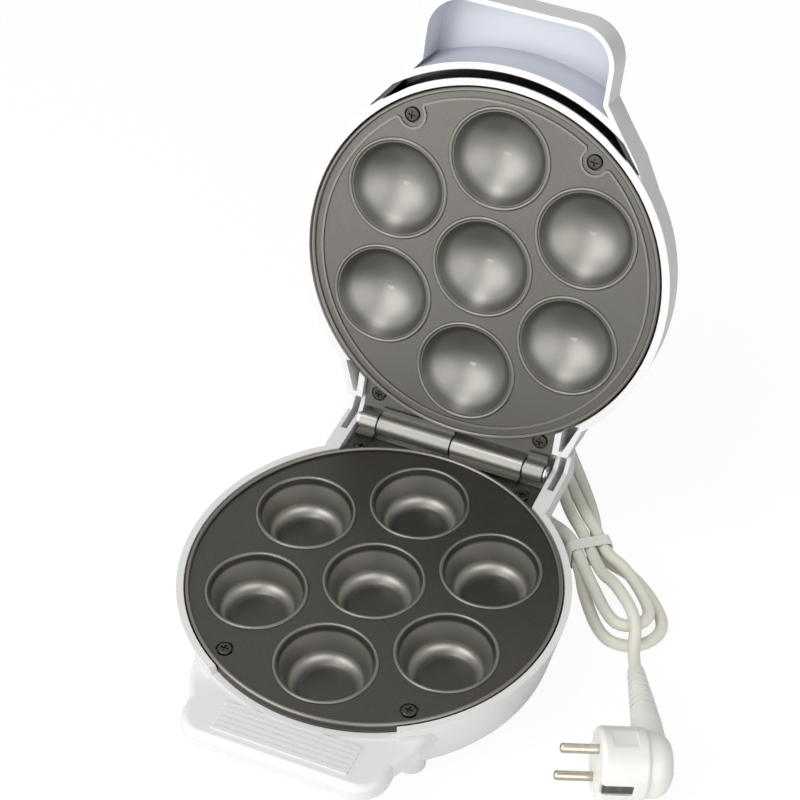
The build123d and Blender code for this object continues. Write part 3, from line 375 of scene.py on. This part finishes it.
def housing_skin(name, pale, dark, shade, slot_painted_shadow):
    """Gloss white housing, with a painted bluish shade inside the lid's hood and a painted black shadow in the
    depths of the heat slot.
    """
    surface = Surface(name)
    across, ahead, lift = lid_axes(surface, lid_open)
    front = surface.math("SUBTRACT", ahead, hinge_behind_plate)
    wide = surface.math("ABSOLUTE", across)
    radius = surface.length(across, front)
    flare = surface.math("MULTIPLY", surface.past(hood_flare_start, front), hood_flare_slope)
    past_side = surface.past(surface.math("SUBTRACT", wide, flare), hood_corner_across)
    past_front = surface.past(front, hood_corner_front)
    rounded = surface.length(past_side, past_front)
    in_hood = surface.within(
        (rounded, None, hood_corner_radius),
        (radius, lid_edge_radius, None),
        (lift, *hood_lifts),
        (front, *front_of_centre),
    )
    end_reach = surface.math("ADD", wide, surface.math("MULTIPLY", front, slot_end_slope))
    in_slot = surface.within(
        (radius, *slot_radii),
        (lift, *slot_lifts),
        (end_reach, None, slot_end_reach),
        (front, *front_of_centre),
    )
    clouds = surface.spread(surface.noise(60, detail=1), 0, 1, noise_nearly_all)
    # Painted shade: the hood's hollow is coloured a darker blue-grey for the shade that falls in it
    shaded = surface.mix(in_hood, surface.mix(clouds, pale, dark), shade)
    # Painted shadow: the heat slot's walls are coloured near-black for the shade in its depths
    surface.colour(surface.mix(in_slot, shaded, slot_painted_shadow))
    surface.rough(0.22, 0.28, size=60)
    surface.relief((surface.noise(1.2), 0.003), (surface.noise(9, detail=1), 0.006))
    return surface.material


# Finishes, with painted light and shade on the housing and the plates
white = housing_skin(
    "white_housing",
    pale=(0.75, 0.75, 0.745),
    dark=(0.73, 0.73, 0.725),
    # painted shade for the hood's hollow
    shade=(0.57, 0.595, 0.65),
    # painted shadow in the depths of the heat slot
    slot_painted_shadow=(0.01, 0.01, 0.01),
)
# The base plate's coat is painted darker than the lid's, which is the same coating: painted shade
lower_coat = nonstick(
    "lower_coat",
    pale=(0.078, 0.074, 0.067),
    dark=(0.055, 0.052, 0.047),
    # painted highlight in the cups
    hollow=(0.32, 0.31, 0.28),
    rough=0.3,
    turn=0,
    web_lift=-0.0025,
    deeper=-1,
    wall_edge=(0.0022, 0.0036),
    floor_depth=0.0191,
)
# The lid's coat is painted paler than the base plate's, which is the same coating: painted light where the lid
# faces the lamps
upper_coat = nonstick(
    "upper_coat",
    pale=(0.132, 0.126, 0.114),
    dark=(0.102, 0.097, 0.088),
    # painted highlight in the domes
    hollow=(0.23, 0.223, 0.205),
    rough=0.36,
    turn=lid_open,
    web_lift=0.0018,
    deeper=1,
    wall_edge=(0.003, 0.006),
    floor_depth=0.05,  # past the domes, which have no flat floor
)
cord_skin = moulded("cord_skin", (0.84, 0.83, 0.73), (0.79, 0.78, 0.68), rough=0.36, grain=0.01, patch=12)
plug_skin = moulded("plug_skin", (0.84, 0.84, 0.79), (0.79, 0.79, 0.74), rough=0.3, grain=0.008, patch=14)
rubber = moulded("rubber", (0.50, 0.49, 0.46), (0.42, 0.41, 0.38), rough=0.7, grain=0.03, patch=6)
nylon = moulded("nylon", (0.78, 0.76, 0.70), (0.72, 0.70, 0.62), rough=0.5)
wire_skin = moulded("wire_skin", (0.75, 0.70, 0.55), (0.62, 0.58, 0.45), rough=0.6, grain=0.03, patch=3)
ceramic = moulded("ceramic", (0.75, 0.72, 0.64), (0.68, 0.65, 0.57), rough=0.5)
lens = moulded("lamp_lens", (0.62, 0.03, 0.02), (0.52, 0.02, 0.015), rough=0.12, Transmission_Weight=0.6)
glass = moulded("lamp_glass", (0.90, 0.85, 0.80), (0.85, 0.80, 0.75), rough=0.05, Transmission_Weight=0.9)
steel = metal("steel", (0.62, 0.61, 0.59), (0.48, 0.47, 0.46), rough=0.24)
sheath = metal("sheath", (0.24, 0.21, 0.19), (0.15, 0.13, 0.12), rough=0.42)
sheet_steel = metal("sheet_steel", (0.62, 0.63, 0.64), (0.50, 0.52, 0.54), rough=0.3, relief=0.02)
nickel = metal("nickel", (0.52, 0.49, 0.40), (0.44, 0.41, 0.33), rough=0.12, relief=0.001)
screw_steel = metal("screw_steel", (0.075, 0.07, 0.064), (0.045, 0.042, 0.038), rough=0.3)
clip_steel = metal("clip_steel", (0.20, 0.19, 0.18), (0.10, 0.10, 0.10), rough=0.4)

slot_finishes = {
    "white_housing": white,
    "nonstick_plate": lower_coat,
    "nonstick_lid_plate": upper_coat,
    "steel": steel,
    "element_sheath": sheath,
    "galvanised_sheet": sheet_steel,
    "thermostat": ceramic,
    "fuse_can": nickel,
    "terminal_plastic": nylon,
    "wire_sleeve": wire_skin,
    "white_cord": cord_skin,
    "white_plug": plug_skin,
    "pin_metal": nickel,
    "clip_metal": clip_steel,
    "rubber_pad": rubber,
    "lamp_lens": lens,
    "lamp_glass": glass,
}
for entry in frame["record"]["subparts"]:
    piece = nodes[entry["node"]]
    piece.data.materials.clear()
    piece.data.materials.append(slot_finishes[entry["material_slot"]])
cord.data.materials.append(cord_skin)
for screws in ("lower_plate_screws", "upper_plate_screws"):
    nodes[screws].data.materials[0] = screw_steel


def paper_ground(name, reach, colour, glow_strength, glow_share):
    """A white floor that takes the object's shadow, and glows towards the camera by glow_share."""
    mesh = bpy.data.meshes.new(name)
    corners = [(-reach, -reach, 0), (reach, -reach, 0), (reach, reach, 0), (-reach, reach, 0)]
    mesh.from_pydata(corners, [], [(0, 1, 2, 3)])
    ground = bpy.data.objects.new(name, mesh)
    scene.collection.objects.link(ground)
    material = bpy.data.materials.new(name)
    material.use_nodes = True
    tree = material.node_tree
    tree.nodes.clear()
    output = tree.nodes.new("ShaderNodeOutputMaterial")
    paper = tree.nodes.new("ShaderNodeBsdfDiffuse")
    paper.inputs["Color"].default_value = (*colour, 1)
    glow = tree.nodes.new("ShaderNodeEmission")
    glow.inputs["Strength"].default_value = glow_strength
    rays = tree.nodes.new("ShaderNodeLightPath")
    share = tree.nodes.new("ShaderNodeMath")
    share.operation = "MULTIPLY"
    share.inputs[1].default_value = glow_share
    blend = tree.nodes.new("ShaderNodeMixShader")
    tree.links.new(rays.outputs["Is Camera Ray"], share.inputs[0])
    tree.links.new(share.outputs["Value"], blend.inputs["Fac"])
    tree.links.new(paper.outputs["BSDF"], blend.inputs[1])
    tree.links.new(glow.outputs["Emission"], blend.inputs[2])
    tree.links.new(blend.outputs["Shader"], output.inputs["Surface"])
    mesh.materials.append(material)
    return ground


floor = paper_ground("floor", reach=6, colour=(0.9, 0.9, 0.9), glow_strength=1.03, glow_share=0.9)


def white_world(light_strength, seen_strength):
    """An even white world, brighter where the camera, a reflection or a clear piece sees it."""
    world = bpy.data.worlds.new("world")
    scene.world = world
    world.use_nodes = True
    tree = world.node_tree
    sky = tree.nodes["Background"]
    sky.inputs["Color"].default_value = (1, 1, 1, 1)
    rays = tree.nodes.new("ShaderNodeLightPath")
    seen = rays.outputs["Is Camera Ray"]
    for ray in ("Is Glossy Ray", "Is Transmission Ray"):
        either = tree.nodes.new("ShaderNodeMath")
        either.operation = "MAXIMUM"
        tree.links.new(seen, either.inputs[0])
        tree.links.new(rays.outputs[ray], either.inputs[1])
        seen = either.outputs["Value"]
    strength = tree.nodes.new("ShaderNodeMapRange")
    strength.inputs["To Min"].default_value = light_strength
    strength.inputs["To Max"].default_value = seen_strength
    tree.links.new(seen, strength.inputs["Value"])
    tree.links.new(strength.outputs["Result"], sky.inputs["Strength"])


white_world(light_strength=0.3, seen_strength=1.0)


def lamp(name, place, towards, size, power):
    """A round area lamp of size metres and power watts."""
    data = bpy.data.lights.new(name, "AREA")
    data.shape = "DISK"
    data.size = size
    data.energy = power
    lamp_object = bpy.data.objects.new(name, data)
    lamp_object.location = place
    lamp_object.rotation_euler = (Vector(towards) - Vector(place)).to_track_quat("-Z", "Y").to_euler()
    scene.collection.objects.link(lamp_object)


lamp("key", (-0.45, -0.85, 1.3), towards=(0, 0, 0.05), size=0.9, power=4)
lamp("front_left", (-1.0, -1.44, 0.50), towards=(0, 0.09, 0.15), size=2.0, power=25)
lamp("front_right", (0.9, -1.0, 0.60), towards=(0, 0, 0.05), size=1.6, power=9)
lamp("top", (-0.32, -0.15, 1.4), towards=(0, -0.04, 0.04), size=0.45, power=4)
